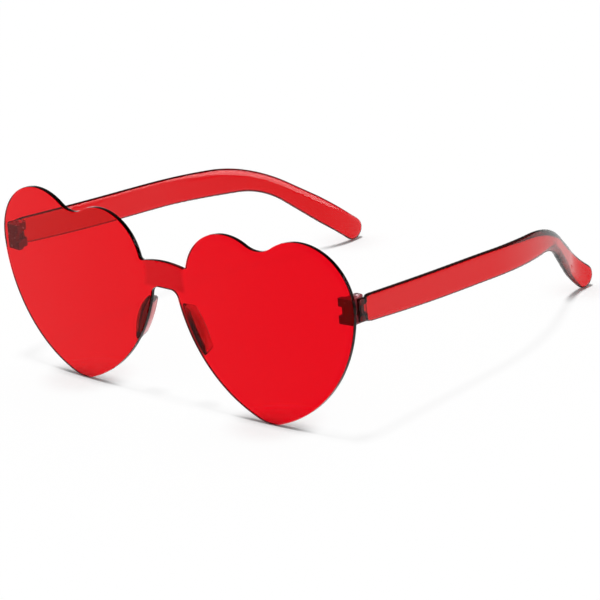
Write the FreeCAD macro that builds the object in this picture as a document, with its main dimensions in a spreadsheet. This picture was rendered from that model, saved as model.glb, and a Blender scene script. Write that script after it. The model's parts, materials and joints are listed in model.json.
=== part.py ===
import FreeCAD, Part
import Sketcher
import math
import os
import re

# Heart shaped sunglasses. The lens stands upright in the design frame: X to the wearer's left,
# Y from the front of the lens to the temple tips, Z up from the heart tips.
doc = FreeCAD.newDocument("heart_sunglasses")

# Driving dimensions in millimetres and degrees
SIZES = {
    # lens sheet and the heart outline
    "lens_width": 146.0,
    "lens_height": 59.3,
    "lens_radius": 700.0,
    "lens_thickness": 1.6,
    "lens_edge_round": 0.3,
    "bridge_drop": 14.4,
    "bridge_depth": 8.6,
    "bridge_crown_radius": 39.3,
    "bridge_fillet": 1.2,
    "inner_lobe_x": 25.9,
    "inner_lobe_drop": 18.4,
    "inner_lobe_radius": 16.7,
    "cleft_radius": 9.3,
    "outer_lobe_radius": 18.6,
    "outer_flank_radius": 43.3,
    "tip_x": 39.4,
    "tip_radius": 12.3,
    "nose_flank_radius": 47.3,
    "nose_gap_half": 5.65,
    "nose_arch_radius": 3.05,
    # nose pads
    "pad_drop": 4.0,
    "pad_length": 14.8,
    "pad_edge_inset": 0.3,
    "pad_end_radius": 0.8,
    "pad_bulge_radius": 17.0,
    "pad_depth": 4.0,
    "pad_splay": 1.7,
    "pad_rim_shorter": 1.8,
    "pad_rim_bulge_radius": 30.0,
    "pad_rim_bevel": 0.7,
    # hinge blocks
    "pin_inset": 3.0,
    "pin_standoff": 3.8,
    "hinge_drop": 19.3,
    "ear_radius": 1.9,
    "block_height": 8.0,
    "slot_height": 2.8,
    "foot_reach": 3.2,
    "root_radius": 0.6,
    "tongue_clearance": 0.3,
    "ear_bore_clearance": 0.03,
    # hinge screws
    "shank_radius": 0.7,
    "head_radius": 1.15,
    "head_height": 0.45,
    "screw_chamfer": 0.15,
    "screw_tail": 0.25,
    "driver_slot_width": 0.35,
    "driver_slot_depth": 0.25,
    # temples
    "temple_proud": 0.4,
    "temple_thickness": 2.2,
    "temple_round": 0.6,
    "front_reach": 2.4,
    "front_rise": 4.1,
    "front_drop": 3.35,
    "tongue_play": 0.1,
    "tongue_bore_clearance": 0.05,
    "skin_bite": 0.8,
    "boss_length": 6.0,
    "boss_shoulder": 1.0,
    "tip_reach": 141.4,
    "tip_height": 6.55,
    "tip_round": 3.95,
    "bend_setback": 53.6,
    "bend_drop": 56.6,
    "bend_radius": 53.8,
    "under_setback": 40.6,
    "under_drop": 36.4,
    "under_radius": 25.0,
    "underside_radius": 1500.0,
    "taper_angle": 1.9,
    "bow_setback": 75.4,
    "bow_radius": 115.0,
    "bow_angle": 25.5,
    "bow_to_flare": 17.2,
    "flare_radius": 24.0,
}

sheet = doc.addObject("Spreadsheet::Sheet", "sizes")
for row, (alias, number) in enumerate(SIZES.items(), start=1):
    sheet.set(f"A{row}", alias)
    sheet.set(f"B{row}", str(number))
    sheet.setAlias(f"B{row}", alias)
doc.recompute()


# The formula with every size name pointing at its cell of the sheet
def bound(formula):
    return re.sub(r"[a-z_]+", lambda m: f"sizes.{m[0]}" if m[0] in SIZES else m[0], formula)


def value(formula):
    return float(sheet.evalExpression(bound(formula)))


# Lines that several pieces share
HALF_WIDTH = "(lens_width / 2)"
OUTER_LOBE_X = f"({HALF_WIDTH} - outer_lobe_radius)"
OUTER_LOBE_Z = "(lens_height - outer_lobe_radius)"
INNER_LOBE_Z = "(lens_height - inner_lobe_drop)"
BRIDGE_TOP = "(lens_height - bridge_drop)"
BRIDGE_BOTTOM = f"({BRIDGE_TOP} - bridge_depth)"
PAD_TOP = f"({BRIDGE_BOTTOM} - pad_drop)"
PAD_FOOT = f"({PAD_TOP} - pad_length)"
HINGE_Z = "(lens_height - hinge_drop)"
LENS_BACK_RADIUS = "(lens_radius - lens_thickness)"
PIN_X = f"({HALF_WIDTH} - pin_inset)"
PIN_Y = f"(lens_radius - sqrt({LENS_BACK_RADIUS}^2 - {PIN_X}^2) + pin_standoff)"
FOOT_BACK = f"({PIN_Y} - ear_radius - tongue_clearance)"
TEMPLE_X = f"({HALF_WIDTH} + temple_proud)"
TEMPLE_FRONT = f"({PIN_Y} - front_reach)"
EAR_TOP = f"({HINGE_Z} + block_height / 2)"
RELIEF_RADIUS = "(ear_radius + tongue_clearance)"


# Outlines are closed rings of corners and arcs. An arc turns left (1) or right (-1) along the ring;
# one without a centre touches both of its neighbours, and "near" places what the rest of the ring decides.
def corner(x, y, near=None):
    return {"x": x, "y": y, "radius": "0", "turn": 0, "near": near}


def arc(radius, turn, x=None, y=None, near=None):
    return {"x": x, "y": y, "radius": radius, "turn": turn, "near": near}


# Direction of the straight run from one circle to the next, and its length
def heading(before, after):
    (x1, y1), bend1 = before
    (x2, y2), bend2 = after
    step = bend2 - bend1
    run = math.sqrt(max((x2 - x1) ** 2 + (y2 - y1) ** 2 - step * step, 0.0))
    return math.atan2(y2 - y1, x2 - x1) - math.atan2(step, run), run


def sweep(before, here, after):
    turned = heading(here, after)[0] - heading(before, here)[0]
    return math.copysign(1.0, here[1]) * turned % math.tau


# Centre of the arc that touches both neighbours, on the side where it turns least
def touching_centre(before, after, bend):
    (x1, y1), bend1 = before
    (x2, y2), bend2 = after
    reach1 = abs(bend - bend1)
    reach2 = abs(bend - bend2)
    gap = math.hypot(x2 - x1, y2 - y1)
    along = (reach1 ** 2 - reach2 ** 2 + gap ** 2) / (2 * gap)
    off = math.sqrt(reach1 ** 2 - along ** 2)
    ux = (x2 - x1) / gap
    uy = (y2 - y1) / gap
    choices = [(x1 + ux * along - uy * shift, y1 + uy * along + ux * shift) for shift in (off, -off)]
    return min(choices, key=lambda spot: sweep(before, (spot, bend), after))


# Centre and signed radius of every corner and arc of a ring
def settle(ring):
    spots = []
    for piece in ring:
        spot = piece["near"]
        if piece["x"] and piece["y"]:
            spot = (value(piece["x"]), value(piece["y"]))
        spots.append((spot, piece["turn"] * value(piece["radius"])))
    for i, (spot, bend) in enumerate(spots):
        if spot is None:
            centre = touching_centre(spots[i - 1], spots[(i + 1) % len(spots)], bend)
            spots[i] = (centre, bend)
    return spots


# Where the run between two circles leaves the first and reaches the second
def link(before, after):
    angle, run = heading(before, after)
    left = (-math.sin(angle), math.cos(angle))
    ends = []
    for (x, y), bend in (before, after):
        ends.append((x - bend * left[0], y - bend * left[1]))
    return ends[0], ends[1], run


def drive(sketch, constraint, formula):
    index = sketch.addConstraint(constraint)
    if bound(formula) != formula:
        sketch.setExpression(f"Constraints[{index}]", bound(formula))


def pin_down(sketch, curve, point, x, y):
    for axis, kind, formula in ((-2, "DistanceX", x), (-1, "DistanceY", y)):
        if formula == "0":
            sketch.addConstraint(Sketcher.Constraint("PointOnObject", curve, point, axis))
        elif formula:
            drive(sketch, Sketcher.Constraint(kind, -1, 1, curve, point, value(formula)), formula)


# The points of a sketch curve
START, END, CENTRE = range(1, 4)


# Draws a ring in a sketch with its tangencies and driving dimensions
def draw(sketch, ring):
    tiny = 1e-3
    spots = settle(ring)
    links = [link(spot, spots[(i + 1) % len(spots)]) for i, spot in enumerate(spots)]
    chain = []
    for i, piece in enumerate(ring):
        (x, y), bend = spots[i]
        if bend:
            angles = [math.atan2(py - y, px - x) for px, py in (links[i - 1][1], links[i][0])]
            ends = (START, END)
            if bend < 0:
                angles.reverse()
                ends = (END, START)
            circle = Part.Circle(FreeCAD.Vector(x, y, 0), FreeCAD.Vector(0, 0, 1), abs(bend))
            curve = sketch.addGeometry(Part.ArcOfCircle(circle, *angles))
            drive(sketch, Sketcher.Constraint("Radius", curve, abs(bend)), piece["radius"])
            pin_down(sketch, curve, CENTRE, piece["x"], piece["y"])
            chain.append((curve, *ends))
        else:
            chain.append(piece)
        start, end, run = links[i]
        if run > tiny:
            line = Part.LineSegment(FreeCAD.Vector(*start, 0), FreeCAD.Vector(*end, 0))
            chain.append((sketch.addGeometry(line), START, END))
    for i, here in enumerate(chain):
        before = chain[i - 1]
        after = chain[(i + 1) % len(chain)]
        if isinstance(here, dict):
            sketch.addConstraint(Sketcher.Constraint("Coincident", before[0], before[2], after[0], after[1]))
            pin_down(sketch, after[0], after[1], here["x"], here["y"])
        elif not isinstance(after, dict):
            sketch.addConstraint(Sketcher.Constraint("Tangent", here[0], here[2], after[0], after[1]))


def new_body(label):
    body = doc.addObject("PartDesign::Body", label)
    body.Label = label
    return body


# Sketch on one of the body's own planes, moved along the plane's normal
def sketch_on(body, label, role, height="0"):
    sketch = body.newObject("Sketcher::SketchObject", label)
    plane = next(feature for feature in body.Origin.OriginFeatures if feature.Role == role)
    sketch.AttachmentSupport = [(plane, "")]
    sketch.MapMode = "FlatFace"
    sketch.AttachmentOffset = FreeCAD.Placement(FreeCAD.Vector(0, 0, value(height)), FreeCAD.Rotation())
    if bound(height) != height:
        sketch.setExpression("AttachmentOffset.Base.z", bound(height))
    return sketch


# Pad or Pocket to both sides of its sketch; a Pocket without a length goes right through
def extrude(kind, body, sketch, label, length=None):
    feature = body.newObject(f"PartDesign::{kind}", label)
    feature.Profile = sketch
    feature.SideType = "Symmetric"
    if length:
        feature.setExpression("Length", bound(length))
    else:
        feature.Type = "ThroughAll"
    sketch.Visibility = False
    doc.recompute()
    return feature


# Names of the edges where two faces meet at an angle
def sharp_edges(shape):
    names = []
    for number, edge in enumerate(shape.Edges, start=1):
        middle = edge.valueAt((edge.FirstParameter + edge.LastParameter) / 2)
        normals = []
        for face in shape.ancestorsOfType(edge, Part.Face):
            normals.append(face.normalAt(*face.Surface.parameter(middle)))
        if len(normals) == 2 and abs(normals[0].dot(normals[1])) < 0.9:
            names.append(f"Edge{number}")
    return names


def round_edges(body, label, base, edges, radius):
    fillet = body.newObject("PartDesign::Fillet", label)
    fillet.Base = (base, edges)
    fillet.setExpression("Radius", bound(radius))
    doc.recompute()
    return fillet


# Cuts away what lies in front of (far < 0) or behind a cylinder about the lens's own axis
def trim_to_curve(body, label, radius, far):
    side = f"({HALF_WIDTH} + foot_reach)"
    level = value("lens_radius") - math.sqrt(value(radius) ** 2 - value(side) ** 2)
    sketch = sketch_on(body, f"{label}_sketch", "XY_Plane")
    draw(sketch, [
        corner(f"-{side}", None, near=(-value(side), level)),
        arc(radius, 1, "0", "lens_radius"),
        corner(side, None, near=(value(side), level)),
        corner(side, far),
        corner(f"-{side}", far),
    ])
    return extrude("Pocket", body, sketch, label)


# The half heart beside the nose, clockwise from the bridge
def half_heart():
    return [
        corner("0", BRIDGE_BOTTOM),
        corner("0", BRIDGE_TOP),
        arc("bridge_crown_radius", -1, "0", near=(0.0, value(f"{BRIDGE_TOP} - bridge_crown_radius"))),
        arc("bridge_fillet", 1),
        arc("inner_lobe_radius", -1, "inner_lobe_x", INNER_LOBE_Z),
        arc("cleft_radius", 1),
        arc("outer_lobe_radius", -1, OUTER_LOBE_X, OUTER_LOBE_Z),
        arc("outer_flank_radius", -1),
        arc("tip_radius", -1, "tip_x", "tip_radius"),
        arc("nose_flank_radius", -1),
        arc("nose_arch_radius", 1, "nose_gap_half - nose_arch_radius", f"{BRIDGE_BOTTOM} - nose_arch_radius"),
    ]


# Two hearts and the bridge, cut from a block to a sheet curved about an upright axis
def build_lens():
    body = new_body("lens")
    sketch = sketch_on(body, "half_heart_sketch", "XZ_Plane")
    draw(sketch, half_heart())
    half = extrude("Pad", body, sketch, "half_heart", f"2 * {PIN_Y}")
    both = body.newObject("PartDesign::Mirrored", "both_hearts")
    plane = next(feature for feature in body.Origin.OriginFeatures if feature.Role == "YZ_Plane")
    both.Originals = [half]
    both.MirrorPlane = (plane, [""])
    body.Tip = both
    doc.recompute()
    trim_to_curve(body, "lens_front", "lens_radius", f"-2 * {PIN_Y}")
    back = trim_to_curve(body, "lens_back", LENS_BACK_RADIUS, f"2 * {PIN_Y}")
    round_edges(body, "lens_edge", back, sharp_edges(back.Shape), "lens_edge_round")
    return body


# X of the lens edge beside the nose at a height
def nose_edge(height):
    ring = half_heart()
    flank = [piece["radius"] for piece in ring].index("nose_flank_radius")
    (x, z), bend = settle(ring)[flank]
    return x - math.sqrt(bend ** 2 - (height - z) ** 2)


# One leaf shaped section of a nose pad, standing off the lens edge by a margin
def pad_leaf(body, label, depth, shorter="0", margin="pad_edge_inset", bulge="pad_bulge_radius", shrink="0"):
    ends = []
    for height in (f"{PAD_TOP} - {shorter}", f"{PAD_FOOT} + {shorter}"):
        x = nose_edge(value(height)) + value(f"{margin} + pad_end_radius")
        ends.append(arc(f"pad_end_radius - {shrink}", -1, f"{x:.4f}", height))
    nose_side = arc(f"nose_flank_radius - pad_edge_inset - {shrink}", -1)
    sketch = sketch_on(body, label, "XZ_Plane", f"-({depth})")
    draw(sketch, [ends[0], arc(f"{bulge} - {shrink}", -1), ends[1], nose_side])
    return sketch


# Fin that narrows and splays outward away from the lens, with a bevelled rim
def build_nose_pad():
    body = new_body("nose_pad_left")
    rim_depth = "lens_thickness + pad_depth"
    rim = ("pad_rim_shorter", "(pad_edge_inset + pad_splay)", "pad_rim_bulge_radius")
    base = pad_leaf(body, "pad_base", "lens_thickness / 2")
    shoulder = pad_leaf(body, "pad_shoulder", f"{rim_depth} - pad_rim_bevel", *rim)
    cap = pad_leaf(body, "pad_rim", rim_depth, *rim, "pad_rim_bevel")
    fin = body.newObject("PartDesign::AdditiveLoft", "pad_fin")
    fin.Profile = base
    fin.Sections = [shoulder, cap]
    fin.Ruled = True
    doc.recompute()
    trim_to_curve(body, "pad_seat", LENS_BACK_RADIUS, f"-2 * {PIN_Y}")
    return body


# Round hole along the hinge pin
def pin_bore(body, label, clearance):
    sketch = sketch_on(body, f"{label}_sketch", "XY_Plane", HINGE_Z)
    radius = f"shank_radius + {clearance}"
    spot = FreeCAD.Vector(value(PIN_X), value(PIN_Y), 0)
    hole = sketch.addGeometry(Part.Circle(spot, FreeCAD.Vector(0, 0, 1), value(radius)))
    drive(sketch, Sketcher.Constraint("Radius", hole, value(radius)), radius)
    pin_down(sketch, hole, CENTRE, PIN_X, PIN_Y)
    return extrude("Pocket", body, sketch, label)


# Two ears on a foot that follows the back of the lens, with a web between them behind the tongue
def build_hinge_block():
    body = new_body("hinge_block_left")
    inner = f"({PIN_X} - foot_reach)"
    ears = sketch_on(body, "ears_sketch", "XY_Plane", HINGE_Z)
    draw(ears, [
        corner(inner, "0"),
        corner(f"{PIN_X} + ear_radius", "0"),
        arc("ear_radius", 1, PIN_X, PIN_Y),
        arc("root_radius", -1, f"{PIN_X} - ear_radius - root_radius", f"{FOOT_BACK} + root_radius"),
        corner(inner, FOOT_BACK),
    ])
    extrude("Pad", body, ears, "ears", "block_height")
    slot = sketch_on(body, "tongue_slot_sketch", "XY_Plane", HINGE_Z)
    draw(slot, [
        corner(f"{inner} - foot_reach", "0"),
        corner(f"{PIN_X} - ear_radius", "0"),
        corner(f"{PIN_X} - ear_radius", FOOT_BACK),
        corner(f"{PIN_X} + foot_reach", FOOT_BACK),
        corner(f"{PIN_X} + foot_reach", f"2 * {PIN_Y}"),
        corner(f"{inner} - foot_reach", f"2 * {PIN_Y}"),
    ])
    extrude("Pocket", body, slot, "tongue_slot", "slot_height")
    pin_bore(body, "ear_bore", "ear_bore_clearance")
    trim_to_curve(body, "block_seat", LENS_BACK_RADIUS, f"-2 * {PIN_Y}")
    return body


# Slotted screw turned about its own axis, which is the hinge pin
def build_hinge_screw():
    body = new_body("hinge_screw_left")
    tail = f"({HINGE_Z} - block_height / 2 - screw_tail)"
    crown = f"({EAR_TOP} + head_height)"
    profile = sketch_on(body, "screw_profile", "XZ_Plane")
    draw(profile, [
        corner("0", tail),
        corner("shank_radius - screw_chamfer", tail),
        corner("shank_radius", f"{tail} + screw_chamfer"),
        corner("shank_radius", EAR_TOP),
        corner("head_radius", EAR_TOP),
        corner("head_radius", f"{crown} - screw_chamfer"),
        corner("head_radius - screw_chamfer", crown),
        corner("0", crown),
    ])
    turned = body.newObject("PartDesign::Revolution", "turned_screw")
    turned.Profile = profile
    turned.ReferenceAxis = (profile, ["V_Axis"])
    doc.recompute()
    slot = sketch_on(body, "driver_slot_sketch", "XY_Plane", crown)
    half_slot = "driver_slot_width / 2"
    draw(slot, [
        corner("-2 * head_radius", f"-{half_slot}"),
        corner("2 * head_radius", f"-{half_slot}"),
        corner("2 * head_radius", half_slot),
        corner("-2 * head_radius", half_slot),
    ])
    extrude("Pocket", body, slot, "driver_slot", "2 * driver_slot_depth")
    return body


# Arm bowed in plan, trimmed to its side profile, with the tongue that turns between the ears
def build_temple():
    body = new_body("temple_left")
    bow_y = "(tip_reach - bow_setback)"
    bow_x = f"({TEMPLE_X} - ({bow_y} + bow_radius * sin(taper_angle) - {TEMPLE_FRONT}) * tan(taper_angle)" \
            " - bow_radius * cos(taper_angle))"
    flare_x = f"({bow_x} + (bow_radius + flare_radius) * cos(bow_angle) - bow_to_flare * sin(bow_angle))"
    flare_y = f"({bow_y} + (bow_radius + flare_radius) * sin(bow_angle) + bow_to_flare * cos(bow_angle))"
    inner_x = f"({TEMPLE_X} - temple_thickness)"
    beyond_tip = "tip_reach + 2 * tip_round"
    plan = sketch_on(body, "temple_plan", "XY_Plane")
    draw(plan, [
        corner(TEMPLE_X, TEMPLE_FRONT),
        arc("bow_radius", 1, bow_x, bow_y),
        arc("flare_radius", -1, flare_x, flare_y),
        corner(f"{flare_x} - flare_radius", beyond_tip),
        corner(f"{flare_x} - flare_radius - temple_thickness", beyond_tip),
        arc("flare_radius + temple_thickness", 1, flare_x, flare_y),
        arc("bow_radius - temple_thickness", -1, bow_x, bow_y),
        corner(inner_x, TEMPLE_FRONT),
    ])
    extrude("Pad", body, plan, "temple_strip", "4 * lens_height")
    side = sketch_on(body, "temple_side", "YZ_Plane")
    draw(side, [
        corner(TEMPLE_FRONT, f"{HINGE_Z} - front_drop"),
        corner(TEMPLE_FRONT, f"{HINGE_Z} + front_rise"),
        arc("bend_radius", -1, "tip_reach - bend_setback", f"{HINGE_Z} - bend_drop"),
        arc("tip_round", -1, "tip_reach", "tip_height"),
        arc("under_radius", 1, "tip_reach - under_setback", f"{HINGE_Z} - under_drop"),
        arc("underside_radius", -1),
    ])
    draw(side, [corner(y, z) for y, z in (("-tip_reach", "-lens_width"), ("2 * tip_reach", "-lens_width"),
                                          ("2 * tip_reach", "lens_width"), ("-tip_reach", "lens_width"))])
    arm = extrude("Pocket", body, side, "temple_outline")
    round_edges(body, "temple_edges", arm, sharp_edges(arm.Shape), "temple_round")
    relief = sketch_on(body, "ear_relief_sketch", "XY_Plane", HINGE_Z)
    draw(relief, [
        corner(f"{PIN_X} + {RELIEF_RADIUS}", "0"),
        arc(RELIEF_RADIUS, 1, PIN_X, PIN_Y),
        corner(f"{PIN_X} - {RELIEF_RADIUS}", "0"),
    ])
    extrude("Pocket", body, relief, "ear_relief")
    tongue = sketch_on(body, "tongue_sketch", "XY_Plane", HINGE_Z)
    root_x = f"({PIN_X} + ear_radius + skin_bite)"
    draw(tongue, [
        arc("ear_radius", 1, PIN_X, PIN_Y),
        corner(root_x, PIN_Y),
        corner(root_x, f"{PIN_Y} + boss_length"),
        corner(inner_x, f"{PIN_Y} + boss_length"),
        corner(f"{PIN_X} - ear_radius", f"{PIN_Y} + boss_shoulder"),
    ])
    extrude("Pad", body, tongue, "tongue", "slot_height - 2 * tongue_play")
    pin_bore(body, "tongue_bore", "tongue_bore_clearance")
    return body


# The pair stands on the rear edge of the heart tips and on the temple tips, leaning back a little
def standing_place(lens, temple):
    edge = value("lens_edge_round")
    sole_y = value("lens_radius") - math.sqrt(value(LENS_BACK_RADIUS) ** 2 - value("tip_x") ** 2) - edge
    run = value("tip_reach") - sole_y
    rise = value("tip_height") - edge
    lean = math.atan2(rise, run) - math.asin((value("tip_round") - edge) / math.hypot(run, rise))
    turn = FreeCAD.Placement(FreeCAD.Vector(), FreeCAD.Rotation(FreeCAD.Vector(1, 0, 0), -math.degrees(lean)))
    boxes = [body.Shape.transformed(turn.Matrix).optimalBoundingBox(False) for body in (lens, temple)]
    front = min(box.YMin for box in boxes)
    back = max(box.YMax for box in boxes)
    floor = min(box.ZMin for box in boxes)
    return FreeCAD.Placement(FreeCAD.Vector(0, -(front + back) / 2, -floor), turn.Rotation)


lens = build_lens()
nose_pad = build_nose_pad()
hinge_block = build_hinge_block()
hinge_screw = build_hinge_screw()
temple = build_temple()

standing = standing_place(lens, temple)
for body in (lens, nose_pad, hinge_block, temple):
    body.Placement = standing
on_pin = FreeCAD.Placement(FreeCAD.Vector(value(PIN_X), value(PIN_Y), 0), FreeCAD.Rotation())
hinge_screw.Placement = standing.multiply(on_pin)

# The other side's pieces are mirror images
nodes = [lens]
for body in (nose_pad, hinge_block, hinge_screw, temple):
    label = body.Label.replace("_left", "_right")
    twin = doc.addObject("Part::Mirroring", label)
    twin.Label = label
    twin.Source = body
    twin.Normal = FreeCAD.Vector(1, 0, 0)
    nodes += [body, twin]
doc.recompute()

for thing in doc.Objects:
    if "Invalid" in thing.State or "Error" in thing.State:
        raise RuntimeError(f"{thing.Label} did not build: {thing.State}")
for node in nodes:
    if node.Shape.isNull() or not node.Shape.isValid() or len(node.Shape.Solids) != 1:
        raise RuntimeError(f"{node.Label} is not one valid solid")

os.makedirs("parts", exist_ok=True)
for node in nodes:
    node.Shape.exportStep(f"parts/{node.Label}.step")
    box = node.Shape.optimalBoundingBox(False)
    print(f"{node.Label}: {node.Shape.Volume:.1f} mm3, x {box.XMin:.2f} to {box.XMax:.2f}, "
          f"y {box.YMin:.2f} to {box.YMax:.2f}, z {box.ZMin:.2f} to {box.ZMax:.2f}")
pin = standing.multVec(FreeCAD.Vector(value(PIN_X), value(PIN_Y), value(HINGE_Z)))
axis = standing.Rotation.multVec(FreeCAD.Vector(0, 0, 1))
print(f"hinge pin at {pin.x:.4f}, {pin.y:.4f}, {pin.z:.4f} along {axis.x:.5f}, {axis.y:.5f}, {axis.z:.5f}")
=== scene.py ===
import json
import math

import bpy
import numpy as np
from mathutils import Matrix, Vector


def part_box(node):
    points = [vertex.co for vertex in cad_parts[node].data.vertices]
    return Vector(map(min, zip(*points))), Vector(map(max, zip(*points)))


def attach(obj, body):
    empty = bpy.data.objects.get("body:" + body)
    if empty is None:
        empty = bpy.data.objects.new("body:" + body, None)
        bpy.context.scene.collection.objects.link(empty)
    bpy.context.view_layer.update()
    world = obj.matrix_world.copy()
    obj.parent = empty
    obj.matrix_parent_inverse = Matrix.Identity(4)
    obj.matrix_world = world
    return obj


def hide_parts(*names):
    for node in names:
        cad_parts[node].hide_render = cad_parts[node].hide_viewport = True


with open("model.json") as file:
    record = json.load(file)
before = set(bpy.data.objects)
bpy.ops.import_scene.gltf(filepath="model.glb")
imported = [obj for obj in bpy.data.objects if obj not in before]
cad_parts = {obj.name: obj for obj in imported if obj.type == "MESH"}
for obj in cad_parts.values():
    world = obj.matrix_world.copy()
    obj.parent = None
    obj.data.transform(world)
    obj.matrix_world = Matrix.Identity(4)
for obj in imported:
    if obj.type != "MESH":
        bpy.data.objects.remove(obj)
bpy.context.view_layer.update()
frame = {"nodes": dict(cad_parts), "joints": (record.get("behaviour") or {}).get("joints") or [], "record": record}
scene = bpy.context.scene
millimetre = 0.001
white = (1.0, 1.0, 1.0, 1.0)
mixShare, mixFrom, mixTo, mixOut = 0, 6, 7, 2  # a Mix node's sockets when it mixes colours
print("frame loaded:", len(frame["nodes"]), "pieces")


def toLinear(hexColour):
    # the standard sRGB curve
    parts = [int(hexColour[i:i + 2], 16) / 255 for i in (1, 3, 5)]
    return tuple(p / 12.92 if p <= 0.04045 else ((p + 0.055) / 1.055) ** 2.4 for p in parts)


def opaque(hexColour):
    return (*toLinear(hexColour), 1.0)


def addNode(tree, kind, inputs=None, **settings):
    node = tree.nodes.new(kind)
    for name, value in settings.items():
        setattr(node, name, value)
    for socket, value in (inputs or {}).items():
        if isinstance(value, bpy.types.NodeSocket):
            tree.links.new(value, node.inputs[socket])
        else:
            node.inputs[socket].default_value = value
    return node


def newMaterial(name):
    material = bpy.data.materials.new(name)
    material.use_nodes = True
    material.node_tree.nodes.clear()
    return material, material.node_tree


# what all the clear plastics share, faintest is the darkest that a part of a colour may get
moulding = {"faintest": 0.0005, "hazeDetail": 3.0, "hazeRange": (0.35, 0.7), "rippleDetail": 1.0}


def dyeFor(seenColour, thickness):
    # the dye that leaves this colour of white light after this many mm of plastic
    left = [max(part, moulding["faintest"]) for part in toLinear(seenColour)]
    loss = [-math.log(part) / (thickness * millimetre) for part in left]
    density = max(loss)
    return density, (*(1 - part / density for part in loss), 1.0)


def clearPlastic(finish):
    material, tree = newMaterial(finish["name"])
    density, dye = dyeFor(finish["seenThrough"], finish["thickness"])
    place = addNode(tree, "ShaderNodeTexCoord")
    haze = addNode(tree, "ShaderNodeTexNoise", {
        "Vector": place.outputs["Object"],
        "Scale": 1 / (finish["hazeSize"] * millimetre),
        "Detail": moulding["hazeDetail"]})
    rough = addNode(tree, "ShaderNodeMapRange", {
        "Value": haze.outputs["Fac"],
        "From Min": moulding["hazeRange"][0], "From Max": moulding["hazeRange"][1],
        "To Min": finish["roughness"][0], "To Max": finish["roughness"][1]})
    ripple = addNode(tree, "ShaderNodeTexNoise", {
        "Vector": place.outputs["Object"],
        "Scale": 1 / (finish["rippleSize"] * millimetre),
        "Detail": moulding["rippleDetail"]})
    bump = addNode(tree, "ShaderNodeBump", {
        "Height": ripple.outputs["Fac"],
        "Strength": 1.0,
        "Distance": finish["rippleDepth"] * millimetre})
    shader = addNode(tree, "ShaderNodeBsdfPrincipled", {
        "Base Color": opaque(finish["surface"]),
        "Roughness": rough.outputs["Result"],
        "IOR": finish["ior"],
        "Transmission Weight": finish["clarity"],
        "Specular Tint": opaque(finish["gloss"]),
        "Normal": bump.outputs["Normal"]})
    inside = addNode(tree, "ShaderNodeVolumeAbsorption", {"Color": dye, "Density": density})
    addNode(tree, "ShaderNodeOutputMaterial", {
        "Surface": shader.outputs["BSDF"], "Volume": inside.outputs["Volume"]})
    return material, tree, shader, place


# cast polycarbonate sheet, flame-polished: clear saturated red with near-black edges
lensFinish = {
    "name": "polishedPolycarbonateLens", "seenThrough": "#E70316", "thickness": 1.83,
    "surface": "#FFFFFF", "gloss": "#101010", "ior": 1.4, "clarity": 1.0,
    "roughness": (0.0, 0.02), "hazeSize": 6.0, "rippleSize": 18.0, "rippleDepth": 0.002,
    "bridgeTint": "#E8E2E2", "lobeX": 25.9, "lobeDrop": 18.4, "lobeRadius": 17.8, "lobeFade": 0.8,
    "bridgeDrop": 22.5, "bridgeFade": 1.0,
    "padShadeTint": "#A08080", "seatX": -5.83, "seatHeight": 16.67, "seatRadius": 20.14, "seatFade": 1.2,
}


def lensPlastic():
    material, tree, shader, place = clearPlastic(lensFinish)
    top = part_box("lens")[1][2]
    spot = addNode(tree, "ShaderNodeSeparateXYZ", {0: place.outputs["Object"]})
    side = addNode(tree, "ShaderNodeMath", {0: spot.outputs["X"]}, operation="ABSOLUTE")
    folded = addNode(tree, "ShaderNodeCombineXYZ", {"X": side.outputs[0], "Z": spot.outputs["Z"]})
    fromLobe = addNode(tree, "ShaderNodeVectorMath", {
        0: folded.outputs[0],
        1: (lensFinish["lobeX"] * millimetre, 0, top - lensFinish["lobeDrop"] * millimetre)},
        operation="DISTANCE")
    rim = lensFinish["lobeRadius"] * millimetre
    outside = addNode(tree, "ShaderNodeMapRange", {
        "Value": fromLobe.outputs["Value"],
        "From Min": rim, "From Max": rim + lensFinish["lobeFade"] * millimetre})
    foot = top - lensFinish["bridgeDrop"] * millimetre
    above = addNode(tree, "ShaderNodeMapRange", {
        "Value": spot.outputs["Z"],
        "From Min": foot - lensFinish["bridgeFade"] * millimetre, "From Max": foot})
    onBridge = addNode(tree, "ShaderNodeMath", {
        0: outside.outputs["Result"], 1: above.outputs["Result"]}, operation="MULTIPLY")
    nearMiddle = addNode(tree, "ShaderNodeMath", {
        0: side.outputs[0], 1: lensFinish["lobeX"] * millimetre}, operation="LESS_THAN")
    dulled = addNode(tree, "ShaderNodeMath", {
        0: onBridge.outputs[0], 1: nearMiddle.outputs[0]}, operation="MULTIPLY")
    tint = addNode(tree, "ShaderNodeMix", {
        mixShare: dulled.outputs[0],
        mixFrom: opaque(lensFinish["surface"]), mixTo: opaque(lensFinish["bridgeTint"])},
        data_type="RGBA")
    # painted shade: a darker crescent on the lens beside the nose, where a pad is bonded on and looks dark behind
    # the lens
    fromSeat = addNode(tree, "ShaderNodeVectorMath", {
        0: folded.outputs[0],
        1: (lensFinish["seatX"] * millimetre, 0, lensFinish["seatHeight"] * millimetre)},
        operation="DISTANCE")
    seat = lensFinish["seatRadius"] * millimetre
    padShaded = addNode(tree, "ShaderNodeMapRange", {
        "Value": fromSeat.outputs["Value"],
        "From Min": seat, "From Max": seat - lensFinish["seatFade"] * millimetre})
    shaded = addNode(tree, "ShaderNodeMix", {
        mixShare: padShaded.outputs["Result"],
        mixFrom: tint.outputs[mixOut], mixTo: opaque(lensFinish["padShadeTint"])},
        data_type="RGBA")
    tree.links.new(shaded.outputs[mixOut], shader.inputs["Base Color"])
    return material
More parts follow.
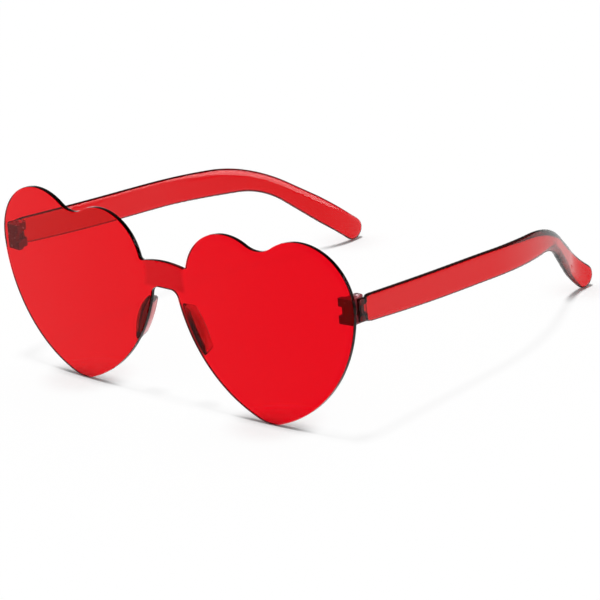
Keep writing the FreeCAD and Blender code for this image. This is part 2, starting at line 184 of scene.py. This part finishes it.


# moulded polycarbonate arm: the same red, a little cloudier, with soft highlights, and painted shade on its top
# and at its hinge end
templeFinish = {
    "name": "mouldedPolycarbonateArm", "seenThrough": "#DA0A12", "thickness": 2.55,
    "surface": "#FFFFFF", "gloss": "#B8B8B8", "ior": 1.45, "clarity": 1.0,
    "roughness": (0.02, 0.09), "hazeSize": 5.0, "rippleSize": 9.0, "rippleDepth": 0.01,
    "topShadeTint": "#30100E", "topFrom": 0.5, "topTo": 0.7,
    "rootShadeTint": "#CCA49C", "lineShadeTint": "#5A2A26", "rootLength": 3.0, "lineWidth": 0.5, "rootFade": 0.15,
}


def armPlastic():
    material, tree, shader, place = clearPlastic(templeFinish)
    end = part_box("temple_left")[0][1] + templeFinish["rootLength"] * millimetre
    spot = addNode(tree, "ShaderNodeSeparateXYZ", {0: place.outputs["Object"]})
    colour = opaque(templeFinish["rootShadeTint"])
    # painted shade: the hinge end is painted darker and greyer, and stops at a painted dark line across the arm
    for tint, edge in (("lineShadeTint", end - templeFinish["lineWidth"] * millimetre), ("surface", end)):
        past = addNode(tree, "ShaderNodeMapRange", {
            "Value": spot.outputs["Y"],
            "From Min": edge, "From Max": edge + templeFinish["rootFade"] * millimetre})
        colour = addNode(tree, "ShaderNodeMix", {
            mixShare: past.outputs["Result"], mixFrom: colour, mixTo: opaque(templeFinish[tint])},
            data_type="RGBA").outputs[mixOut]
    # painted shade: the arm is painted darker where it faces up
    upward = addNode(tree, "ShaderNodeAttribute", attribute_name="topShade")
    shaded = addNode(tree, "ShaderNodeMix", {
        mixShare: upward.outputs["Fac"], mixFrom: colour, mixTo: opaque(templeFinish["topShadeTint"])},
        data_type="RGBA")
    tree.links.new(shaded.outputs[mixOut], shader.inputs["Base Color"])
    return material


# moulded clear pad: smoky pink where it is bare; painted shade near the lens makes it dark behind the red lens
padFinish = {
    "name": "clearMouldedPad", "seenThrough": "#DE9A9C", "thickness": 2.0,
    "surface": "#FFFFFF", "gloss": "#FFFFFF", "ior": 1.45, "clarity": 1.0,
    "roughness": (0.05, 0.12), "hazeSize": 2.0, "rippleSize": 2.5, "rippleDepth": 0.01,
    "bondShadeTint": "#DCCCCC", "bondDepth": 0.9, "bondFade": 0.7,
}


def padPlastic():
    material, tree, shader, place = clearPlastic(padFinish)
    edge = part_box("nose_pad_left")[0][1] + padFinish["bondDepth"] * millimetre
    spot = addNode(tree, "ShaderNodeSeparateXYZ", {0: place.outputs["Object"]})
    # painted shade: the pad is painted darker near its base on the lens
    past = addNode(tree, "ShaderNodeMapRange", {
        "Value": spot.outputs["Y"],
        "From Min": edge, "From Max": edge + padFinish["bondFade"] * millimetre})
    shaded = addNode(tree, "ShaderNodeMix", {
        mixShare: past.outputs["Result"],
        mixFrom: opaque(padFinish["bondShadeTint"]), mixTo: opaque(padFinish["surface"])},
        data_type="RGBA")
    tree.links.new(shaded.outputs[mixOut], shader.inputs["Base Color"])
    return material


# moulded polycarbonate fork: thick and a little cloudy, so nearly black red
blockFinish = {
    "name": "mouldedHingeFork", "seenThrough": "#A02830", "thickness": 2.5,
    "surface": "#C06068", "gloss": "#404040", "ior": 1.45, "clarity": 0.45,
    "roughness": (0.15, 0.3), "hazeSize": 1.5, "rippleSize": 2.0, "rippleDepth": 0.01,
}
# turned steel: bright rim, darker in the slot, fine turning marks; its pinkish colour is a painted reflection of
# the red plastic around it
screwFinish = {
    "name": "turnedSteelScrew", "colour": "#D8B8BE", "roughness": (0.3, 0.5),
    "grain": 0.15, "grainDetail": 2.0,
}


def steel(finish):
    material, tree = newMaterial(finish["name"])
    place = addNode(tree, "ShaderNodeTexCoord")
    brush = addNode(tree, "ShaderNodeTexNoise", {
        "Vector": place.outputs["Object"],
        "Scale": 1 / (finish["grain"] * millimetre),
        "Detail": finish["grainDetail"]})
    rough = addNode(tree, "ShaderNodeMapRange", {
        "Value": brush.outputs["Fac"],
        "To Min": finish["roughness"][0], "To Max": finish["roughness"][1]})
    shader = addNode(tree, "ShaderNodeBsdfPrincipled", {
        "Base Color": opaque(finish["colour"]), "Metallic": 1.0, "Roughness": rough.outputs["Result"]})
    addNode(tree, "ShaderNodeOutputMaterial", {"Surface": shader.outputs["BSDF"]})
    return material


finishes = {
    "lens": lensPlastic(),
    "temple": armPlastic(),
    "nose_pad": padPlastic(),
    "hinge_block": clearPlastic(blockFinish)[0],
    "screw": steel(screwFinish),
}
for part in frame["record"]["subparts"]:
    node = frame["nodes"][part["node"]]
    for slot in node.material_slots:
        slot.material = finishes[part["material_slot"]]
print("finishes set:", sorted(finishes))


def addPiece(name, mesh, body, slot, *nodes):
    piece = bpy.data.objects.new(name, mesh)
    scene.collection.objects.link(piece)
    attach(piece, body)
    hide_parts(*nodes)


def bakedMesh(worker, name):
    # the evaluated shape as a plain mesh, and the worker object gone
    result = worker.evaluated_get(bpy.context.evaluated_depsgraph_get())
    mesh = bpy.data.meshes.new_from_object(result)
    mesh.name = name
    spent = worker.data
    bpy.data.objects.remove(worker)
    bpy.data.meshes.remove(spent)
    return mesh


def readPoints(mesh, what):
    values = np.empty(len(mesh.vertices) * 3, dtype=np.float32)
    mesh.vertices.foreach_get(what, values)
    return values.reshape(-1, 3)


# the pads stand a little straighter (lean is a slope), and nearer the nose (mm)
padForm = {"lean": 0.15, "towardsNose": 0.3}


def shapePad(mesh):
    spots = readPoints(mesh, "co")
    depth = spots[:, 1] - spots[:, 1].min()
    shift = padForm["towardsNose"] * millimetre + padForm["lean"] * depth
    spots[:, 0] -= np.sign(spots[:, 0]) * shift
    mesh.vertices.foreach_set("co", spots.ravel())


# the arm arches a little before its bend, and its inner upper edge is bevelled
# mm, along the arm from its hinge end, but archMiddle from the origin and evenReach in slices
armForm = {
    "archRise": 0.6, "archMiddle": 2.0, "archReach": 28.0,
    "regrow": (0.5, 0.9), "relaxShare": (0.3, 1.0), "roundFrom": 68.0, "roundTo": 95.0,
    "tipFrom": 122.0, "tipTo": 134.0, "crispFade": 3.0,
    "bevelHeight": 1.1, "bevelDepth": 0.5, "bevelFrom": 75.0, "bevelTo": 95.0,
    "tongueLength": 3.0, "straightFrom": 9.0, "straightTo": 20.0,
    "sliceLength": 0.5, "evenReach": 4,
}


def shapeArm(mesh):
    spots = readPoints(mesh, "co")
    across = np.abs(spots[:, 0])
    along = spots[:, 1].copy()
    start = along.min()
    onArm = (along - start) / millimetre
    step = armForm["sliceLength"] * millimetre
    part = ((along - start) / step).astype(int)
    count = part.max() + 1
    top, outer = np.full(count, -1.0), np.full(count, -1.0)
    inner = np.full(count, 1.0)
    np.maximum.at(top, part, spots[:, 2])
    np.maximum.at(outer, part, across)
    np.minimum.at(inner, part, across)
    middles = start + (np.arange(count) + 0.5) * step
    # the hinge tongue ends square, where the arm's flat inner face begins
    straight = slice(int(armForm["straightFrom"] * millimetre / step),
                     int(armForm["straightTo"] * millimetre / step))
    flatFace = np.polyval(np.polyfit(middles[straight], inner[straight], 1), along)
    beyond = (onArm > armForm["tongueLength"]) & (onArm < armForm["straightFrom"])
    across = np.where(beyond, np.maximum(across, flatFace), across)
    spots[:, 0] = np.sign(spots[:, 0]) * across
    reach = armForm["evenReach"]
    window = 2 * reach + 1
    evened = [np.convolve(np.pad(line, reach, mode="edge"), np.full(window, 1 / window), mode="valid")
              for line in (top, outer, inner)]
    top, outer, inner = (np.interp(along, middles, line) for line in evened)
    bevelled = np.interp(onArm, (armForm["bevelFrom"], armForm["bevelTo"]), (0, 1))
    inward = np.clip((outer - across) / (outer - inner), 0, 1)
    near = np.clip(1 - (top - spots[:, 2]) / (armForm["bevelHeight"] * millimetre), 0, 1)
    cut = bevelled * inward * near * armForm["bevelDepth"] * millimetre
    spots[:, 0] += np.sign(spots[:, 0]) * cut
    arch = np.exp(-((along / millimetre - armForm["archMiddle"]) / armForm["archReach"]) ** 2)
    spots[:, 2] += armForm["archRise"] * arch * millimetre
    # what the relaxing takes off the edges is added first, up and down but not across
    grown = np.interp(onArm, (armForm["roundFrom"], armForm["roundTo"]), armForm["regrow"])
    grown *= np.interp(onArm, (armForm["tipFrom"], armForm["tipTo"]), (1, 0))
    crisp = softEdges["temple"]["crispLength"]
    grown *= np.interp(onArm, (crisp, crisp + armForm["crispFade"]), (0, 1))
    spots[:, 1:] += grown[:, None] * readPoints(mesh, "normal")[:, 1:] * millimetre
    mesh.vertices.foreach_set("co", spots.ravel())
    # how far to relax: an arm is nearly square in front and round towards its tip
    return np.interp(onArm, (armForm["roundFrom"], armForm["roundTo"]), armForm["relaxShare"])


def shadeTop(mesh):
    # painted shade: how far each point of the arm faces up, which sets how dark its top is painted
    upward = readPoints(mesh, "normal")[:, 2]
    shade = (upward - templeFinish["topFrom"]) / (templeFinish["topTo"] - templeFinish["topFrom"])
    painted = mesh.attributes.new("topShade", "FLOAT", "POINT")
    painted.data.foreach_set("value", np.clip(shade, 0, 1))


# moulded edges: the solid is filled with small cells and its corners are relaxed (lengths in mm)
weldReach = 0.0001
softEdges = {
    "nose_pad": {"cell": 0.14, "relax": 0.5, "passes": 14, "crispLength": 0.0},
    "hinge_block": {"cell": 0.10, "relax": 0.5, "passes": 6, "crispLength": 0.0},
    "temple": {"cell": 0.22, "relax": 0.5, "passes": 80, "crispLength": 2.4},
}


def newWorker(mesh):
    worker = bpy.data.objects.new("worker", mesh)
    scene.collection.objects.link(worker)
    return worker


def soften(node, slot, body):
    shape = softEdges[slot]
    worker = newWorker(frame["nodes"][node].data.copy())
    weld = worker.modifiers.new("weld", "WELD")
    weld.merge_threshold = weldReach * millimetre
    cells = worker.modifiers.new("cells", "REMESH")
    cells.mode = "VOXEL"
    cells.voxel_size = shape["cell"] * millimetre
    cells.use_smooth_shade = True
    mesh = bakedMesh(worker, node)
    if slot == "nose_pad":
        shapePad(mesh)
    worker = newWorker(mesh)
    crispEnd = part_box(node)[0][1] + shape["crispLength"] * millimetre
    loose = worker.vertex_groups.new(name="loose")
    weights = np.ones(len(mesh.vertices))
    if slot == "temple":
        weights = shapeArm(mesh)
    for v, weight in zip(mesh.vertices, weights):
        if v.co.y >= crispEnd:
            loose.add([v.index], float(weight), "REPLACE")
    relaxed = worker.modifiers.new("relaxed", "SMOOTH")
    relaxed.factor = shape["relax"]
    relaxed.iterations = shape["passes"]
    relaxed.vertex_group = loose.name
    mesh = bakedMesh(worker, node + "_moulded")
    if slot == "temple":
        shadeTop(mesh)
    mesh.materials.clear()
    mesh.materials.append(finishes[slot])
    addPiece(node + "_moulded", mesh, body, slot, node)


for side in ("left", "right"):
    soften("nose_pad_" + side, "nose_pad", "front")
    soften("hinge_block_" + side, "hinge_block", "front")
    soften("temple_" + side, "temple", "arm_" + side)
print("moulded pieces softened")

# slotted hinge screws: chamfered head, driver slot and a fine thread down the shank (mm)
hingeScrew = {
    "Head Radius": 1.0, "Head Height": 0.45, "Head Chamfer": 0.15,
    "Slot Width": 0.35, "Slot Depth": 0.25,
    "Shank Radius": 0.7, "Thread Pitch": 0.35, "Thread Depth": 0.1,
}
# shankReach is the shank's spare length in slot depths, slotReach the slot cutter's in head radii
screwMesh = {
    "headSides": 48, "headRings": 6, "shankSides": 24, "shankRings": 140,
    "shankReach": 0.2, "slotReach": 4.0, "sharpAngle": 35.0,
}


def screwTree(material):
    tree = bpy.data.node_groups.new("hingeScrewTree", "GeometryNodeTree")
    tree.interface.new_socket("Geometry", in_out="INPUT", socket_type="NodeSocketGeometry")
    tree.interface.new_socket("Geometry", in_out="OUTPUT", socket_type="NodeSocketGeometry")
    for name in [*hingeScrew, "Length"]:
        tree.interface.new_socket(name, in_out="INPUT", socket_type="NodeSocketFloat")
    tree.interface.new_socket("Axis", in_out="INPUT", socket_type="NodeSocketVector")
    given = addNode(tree, "NodeGroupInput").outputs
    here = addNode(tree, "GeometryNodeInputPosition").outputs[0]
    spot = addNode(tree, "ShaderNodeSeparateXYZ", {0: here}).outputs

    def scaledAcross(mesh, factor):
        # pulls each point towards the screw's axis by its own factor
        inward = addNode(tree, "ShaderNodeCombineXYZ", {"X": factor, "Y": factor, "Z": 1.0})
        moved = addNode(tree, "ShaderNodeVectorMath", {
            0: here, 1: inward.outputs[0]}, operation="MULTIPLY")
        return addNode(tree, "GeometryNodeSetPosition", {
            "Geometry": mesh, "Position": moved.outputs[0]}).outputs["Geometry"]

    # the head, narrowed towards its top
    headBase = addNode(tree, "ShaderNodeMath", {
        0: given["Length"], 1: given["Head Height"]}, operation="SUBTRACT")
    halfHead = addNode(tree, "ShaderNodeMath", {0: given["Head Height"], 1: 0.5}, operation="MULTIPLY")
    chamferFrom = addNode(tree, "ShaderNodeMath", {
        0: halfHead.outputs[0], 1: given["Head Chamfer"]}, operation="SUBTRACT")
    narrowing = addNode(tree, "ShaderNodeMath", {
        0: given["Head Chamfer"], 1: given["Head Radius"]}, operation="DIVIDE")
    narrowest = addNode(tree, "ShaderNodeMath", {0: 1.0, 1: narrowing.outputs[0]}, operation="SUBTRACT")
    chamfer = addNode(tree, "ShaderNodeMapRange", {
        "Value": spot["Z"],
        "From Min": chamferFrom.outputs[0], "From Max": halfHead.outputs[0],
        "To Min": 1.0, "To Max": narrowest.outputs[0]})
    disc = addNode(tree, "GeometryNodeMeshCylinder", {
        "Vertices": screwMesh["headSides"], "Side Segments": screwMesh["headRings"],
        "Radius": given["Head Radius"], "Depth": given["Head Height"]})
    headMiddle = addNode(tree, "ShaderNodeMath", {
        0: headBase.outputs[0], 1: halfHead.outputs[0]}, operation="ADD")
    headPlace = addNode(tree, "ShaderNodeCombineXYZ", {"Z": headMiddle.outputs[0]})
    head = addNode(tree, "GeometryNodeTransform", {
        "Geometry": scaledAcross(disc.outputs["Mesh"], chamfer.outputs["Result"]),
        "Translation": headPlace.outputs[0]})

    # the driver slot
    slotLength = addNode(tree, "ShaderNodeMath", {
        0: given["Head Radius"], 1: screwMesh["slotReach"]}, operation="MULTIPLY")
    slotHeight = addNode(tree, "ShaderNodeMath", {0: given["Slot Depth"], 1: 2.0}, operation="MULTIPLY")
    slotSize = addNode(tree, "ShaderNodeCombineXYZ", {
        "X": slotLength.outputs[0], "Y": given["Slot Width"], "Z": slotHeight.outputs[0]})
    cutter = addNode(tree, "GeometryNodeMeshCube", {"Size": slotSize.outputs[0]})
    slotPlace = addNode(tree, "ShaderNodeCombineXYZ", {"Z": given["Length"]})
    raised = addNode(tree, "GeometryNodeTransform", {
        "Geometry": cutter.outputs["Mesh"], "Translation": slotPlace.outputs[0]})
    slotted = addNode(tree, "GeometryNodeMeshBoolean", {
        "Mesh 1": head.outputs["Geometry"], "Mesh 2": raised.outputs["Geometry"]},
        operation="DIFFERENCE")

    # the shank, with its thread pressed in along a helix
    shankReach = addNode(tree, "ShaderNodeMath", {
        0: given["Slot Depth"], 1: screwMesh["shankReach"]}, operation="MULTIPLY")
    shankLength = addNode(tree, "ShaderNodeMath", {
        0: headBase.outputs[0], 1: shankReach.outputs[0]}, operation="ADD")
    rod = addNode(tree, "GeometryNodeMeshCylinder", {
        "Vertices": screwMesh["shankSides"], "Side Segments": screwMesh["shankRings"],
        "Radius": given["Shank Radius"], "Depth": shankLength.outputs[0]})
    climbed = addNode(tree, "ShaderNodeMath", {
        0: spot["Z"], 1: given["Thread Pitch"]}, operation="DIVIDE")
    angle = addNode(tree, "ShaderNodeMath", {0: spot["Y"], 1: spot["X"]}, operation="ARCTAN2")
    turned = addNode(tree, "ShaderNodeMath", {0: angle.outputs[0], 1: math.tau}, operation="DIVIDE")
    turns = addNode(tree, "ShaderNodeMath", {
        0: climbed.outputs[0], 1: turned.outputs[0]}, operation="ADD")
    ridge = addNode(tree, "ShaderNodeMath", {0: turns.outputs[0], 1: 0.5}, operation="PINGPONG")
    fullRidge = addNode(tree, "ShaderNodeMath", {0: ridge.outputs[0], 1: 2.0}, operation="MULTIPLY")
    deepest = addNode(tree, "ShaderNodeMath", {
        0: given["Thread Depth"], 1: given["Shank Radius"]}, operation="DIVIDE")
    groove = addNode(tree, "ShaderNodeMath", {
        0: fullRidge.outputs[0], 1: deepest.outputs[0]}, operation="MULTIPLY")
    waist = addNode(tree, "ShaderNodeMath", {0: 1.0, 1: groove.outputs[0]}, operation="SUBTRACT")
    shankMiddle = addNode(tree, "ShaderNodeMath", {
        0: headBase.outputs[0], 1: 0.5}, operation="MULTIPLY")
    shankPlace = addNode(tree, "ShaderNodeCombineXYZ", {"Z": shankMiddle.outputs[0]})
    shank = addNode(tree, "GeometryNodeTransform", {
        "Geometry": scaledAcross(rod.outputs["Mesh"], waist.outputs[0]),
        "Translation": shankPlace.outputs[0]})

    # one whole screw on each hinge pin's foot
    whole = addNode(tree, "GeometryNodeJoinGeometry")
    tree.links.new(slotted.outputs["Mesh"], whole.inputs[0])
    tree.links.new(shank.outputs["Geometry"], whole.inputs[0])
    upright = addNode(tree, "FunctionNodeAlignRotationToVector", {"Vector": given["Axis"]}, axis="Z")
    both = addNode(tree, "GeometryNodeInstanceOnPoints", {
        "Points": given["Geometry"], "Instance": whole.outputs["Geometry"],
        "Rotation": upright.outputs["Rotation"]})
    real = addNode(tree, "GeometryNodeRealizeInstances", {"Geometry": both.outputs["Instances"]})
    painted = addNode(tree, "GeometryNodeSetMaterial", {
        "Geometry": real.outputs["Geometry"], "Material": material})
    addNode(tree, "NodeGroupOutput", {"Geometry": painted.outputs["Geometry"]})
    return tree


def driveScrews():
    pins = [Vector(joint["pos_m"]) for joint in frame["joints"]]
    axis = Vector(frame["joints"][0]["axis"]).normalized()
    low, high = (corner[2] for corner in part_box("hinge_screw_left"))
    tilt = math.hypot(axis.x, axis.y)
    length = (high - low - tilt * hingeScrew["Head Radius"] * millimetre) / axis.z
    feet = [pin + axis * (low + tilt * hingeScrew["Shank Radius"] * millimetre - pin.z) / axis.z
            for pin in pins]
    mesh = bpy.data.meshes.new("hingeScrewFeet")
    mesh.from_pydata(feet, [], [])
    worker = newWorker(mesh)
    nodes = worker.modifiers.new("screws", "NODES")
    nodes.node_group = screwTree(finishes["screw"])
    values = {name: size * millimetre for name, size in hingeScrew.items()}
    values["Length"] = length
    values["Axis"] = axis
    for socket in nodes.node_group.interface.items_tree:
        if socket.in_out == "INPUT" and socket.name in values:
            nodes[socket.identifier] = values[socket.name]
    screws = bakedMesh(worker, "hinge_screws_turned")
    screws.shade_smooth()
    screws.set_sharp_from_angle(angle=math.radians(screwMesh["sharpAngle"]))
    addPiece("hinge_screws_turned", screws, "front", "screw", "hinge_screw_left", "hinge_screw_right")


driveScrews()
print("hinge screws set")

# floor and lights: the floor in metres, the places on it in mm, the angles in degrees
studio = {
    "floorRadius": 12.0,
    "floorDrop": 0.0002,
    "floorSides": 48,
    "floorColour": "#FFFFFF",
    "floorGlow": 0.88,
    "shadowGlow": 0.0,
    "lensTip": (39.4, -70.6),
    "armTip": (49.4, 70.5),
    "shadowFrom": 7.0,
    "shadowTo": 18.0,
    "fill": 0.35,
    "ceiling": 0.12,
    "ceilingFrom": 0.0,
    "ceilingTo": 0.25,
    "lampAngle": 9.0,
    "lampShare": 0.66,
    "softboxWay": (0.872, 0.251, 0.421),
    "softboxGlow": 7.0,
    "softboxCore": 12.0,
    "softboxEdge": 40.0,
}


def shownRay(tree, rays):
    # 1 for rays that show the studio itself: seen, mirrored or through clear plastic
    mirrored = addNode(tree, "ShaderNodeMath", {
        0: rays["Is Camera Ray"], 1: rays["Is Glossy Ray"]}, operation="MAXIMUM")
    shown = addNode(tree, "ShaderNodeMath", {
        0: mirrored.outputs[0], 1: rays["Is Transmission Ray"]}, operation="MAXIMUM")
    return shown.outputs[0]


def paintWorld():
    world = bpy.data.worlds.new("whiteStudio")
    scene.world = world
    world.use_nodes = True
    tree = world.node_tree
    tree.nodes.clear()
    rays = addNode(tree, "ShaderNodeLightPath").outputs
    way = addNode(tree, "ShaderNodeTexCoord")
    height = addNode(tree, "ShaderNodeSeparateXYZ", {0: way.outputs["Generated"]})
    dimming = addNode(tree, "ShaderNodeMapRange", {
        "Value": height.outputs["Z"],
        "From Min": studio["ceilingFrom"], "From Max": studio["ceilingTo"],
        "To Min": 1.0, "To Max": studio["ceiling"]}, interpolation_type="SMOOTHSTEP")
    seen = addNode(tree, "ShaderNodeMath", {
        0: dimming.outputs["Result"], 1: rays["Is Camera Ray"]}, operation="MAXIMUM")
    level = addNode(tree, "ShaderNodeMix", {
        "Factor": shownRay(tree, rays), "A": studio["fill"], "B": seen.outputs[0]})
    # a softbox behind the right shoulder, which only shows as a highlight on gloss
    towards = addNode(tree, "ShaderNodeVectorMath", {
        0: way.outputs["Generated"], 1: studio["softboxWay"]}, operation="DOT_PRODUCT")
    patch = addNode(tree, "ShaderNodeMapRange", {
        "Value": towards.outputs["Value"],
        "From Min": math.cos(math.radians(studio["softboxEdge"])),
        "From Max": math.cos(math.radians(studio["softboxCore"])),
        "To Max": studio["softboxGlow"]}, interpolation_type="SMOOTHSTEP")
    glossy = addNode(tree, "ShaderNodeMath", {
        0: rays["Is Glossy Ray"], 1: rays["Is Reflection Ray"]}, operation="MULTIPLY")
    lit = addNode(tree, "ShaderNodeMath", {
        0: patch.outputs["Result"], 1: glossy.outputs[0], 2: level.outputs["Result"]},
        operation="MULTIPLY_ADD")
    glow = addNode(tree, "ShaderNodeBackground", {"Color": white, "Strength": lit.outputs[0]})
    addNode(tree, "ShaderNodeOutputWorld", {"Surface": glow.outputs["Background"]})


def layFloor():
    material, tree = newMaterial("mattWhiteFloor")
    rays = addNode(tree, "ShaderNodeLightPath").outputs
    place = addNode(tree, "ShaderNodeTexCoord")
    spot = addNode(tree, "ShaderNodeSeparateXYZ", {0: place.outputs["Object"]})
    side = addNode(tree, "ShaderNodeMath", {0: spot.outputs["X"]}, operation="ABSOLUTE")
    folded = addNode(tree, "ShaderNodeCombineXYZ", {"X": side.outputs[0], "Y": spot.outputs["Y"]})
    # full shadow only near the points that touch the floor
    away = [addNode(tree, "ShaderNodeVectorMath", {
        0: folded.outputs[0],
        1: (studio[tip][0] * millimetre, studio[tip][1] * millimetre, 0)},
        operation="DISTANCE").outputs["Value"] for tip in ("lensTip", "armTip")]
    nearest = addNode(tree, "ShaderNodeMath", {0: away[0], 1: away[1]}, operation="MINIMUM")
    glowing = addNode(tree, "ShaderNodeMapRange", {
        "Value": nearest.outputs[0],
        "From Min": studio["shadowFrom"] * millimetre, "From Max": studio["shadowTo"] * millimetre,
        "To Min": studio["shadowGlow"], "To Max": studio["floorGlow"]}, interpolation_type="SMOOTHSTEP")
    share = addNode(tree, "ShaderNodeMath", {
        0: shownRay(tree, rays), 1: glowing.outputs["Result"]}, operation="MULTIPLY")
    matt = addNode(tree, "ShaderNodeBsdfDiffuse", {"Color": opaque(studio["floorColour"])})
    bright = addNode(tree, "ShaderNodeEmission", {"Color": white, "Strength": 1.0})
    mixed = addNode(tree, "ShaderNodeMixShader", {
        "Fac": share.outputs[0], 1: matt.outputs["BSDF"], 2: bright.outputs["Emission"]})
    addNode(tree, "ShaderNodeOutputMaterial", {"Surface": mixed.outputs["Shader"]})
    mesh = bpy.data.meshes.new("floor")
    corners = range(studio["floorSides"])
    ring = [(studio["floorRadius"] * math.cos(math.tau * i / len(corners)),
             studio["floorRadius"] * math.sin(math.tau * i / len(corners)),
             -studio["floorDrop"]) for i in corners]
    mesh.from_pydata(ring, [], [corners])
    mesh.materials.append(material)
    floor = bpy.data.objects.new("floor", mesh)
    scene.collection.objects.link(floor)


def hangLamp():
    # one soft lamp straight overhead, which leaves thin shadows under the tips
    lamp = bpy.data.lights.new("overheadLamp", "SUN")
    lamp.angle = math.radians(studio["lampAngle"])
    lamp.energy = studio["lampShare"] * math.pi
    scene.collection.objects.link(bpy.data.objects.new("overheadLamp", lamp))


paintWorld()
layFloor()
hangLamp()
print("studio set")

# the photograph's camera: where it stands, which way it is turned and its lens (m, mm)
photoView = {
    "spot": (0.745729, -0.8027205, 0.405852),
    "right": (0.74468611, 0.66233976, -0.0821501),
    "up": (-0.16891995, 0.30612322, 0.9368856),
    "focal": 219.717,
    "sensor": 36.0,
    "nearest": 0.01,
    "farthest": 50.0,
}
cameraData = bpy.data.cameras.new("photoCamera")
cameraData.lens = photoView["focal"]
cameraData.sensor_width = photoView["sensor"]
cameraData.clip_start = photoView["nearest"]
cameraData.clip_end = photoView["farthest"]
camera = bpy.data.objects.new("photoCamera", cameraData)
right = Vector(photoView["right"])
up = Vector(photoView["up"])
back = right.cross(up)
turn = Matrix((right, up, back)).transposed().to_4x4()
camera.matrix_world = Matrix.Translation(photoView["spot"]) @ turn
scene.collection.objects.link(camera)
scene.camera = camera
scene.view_settings.view_transform = "Standard"
print("camera set")
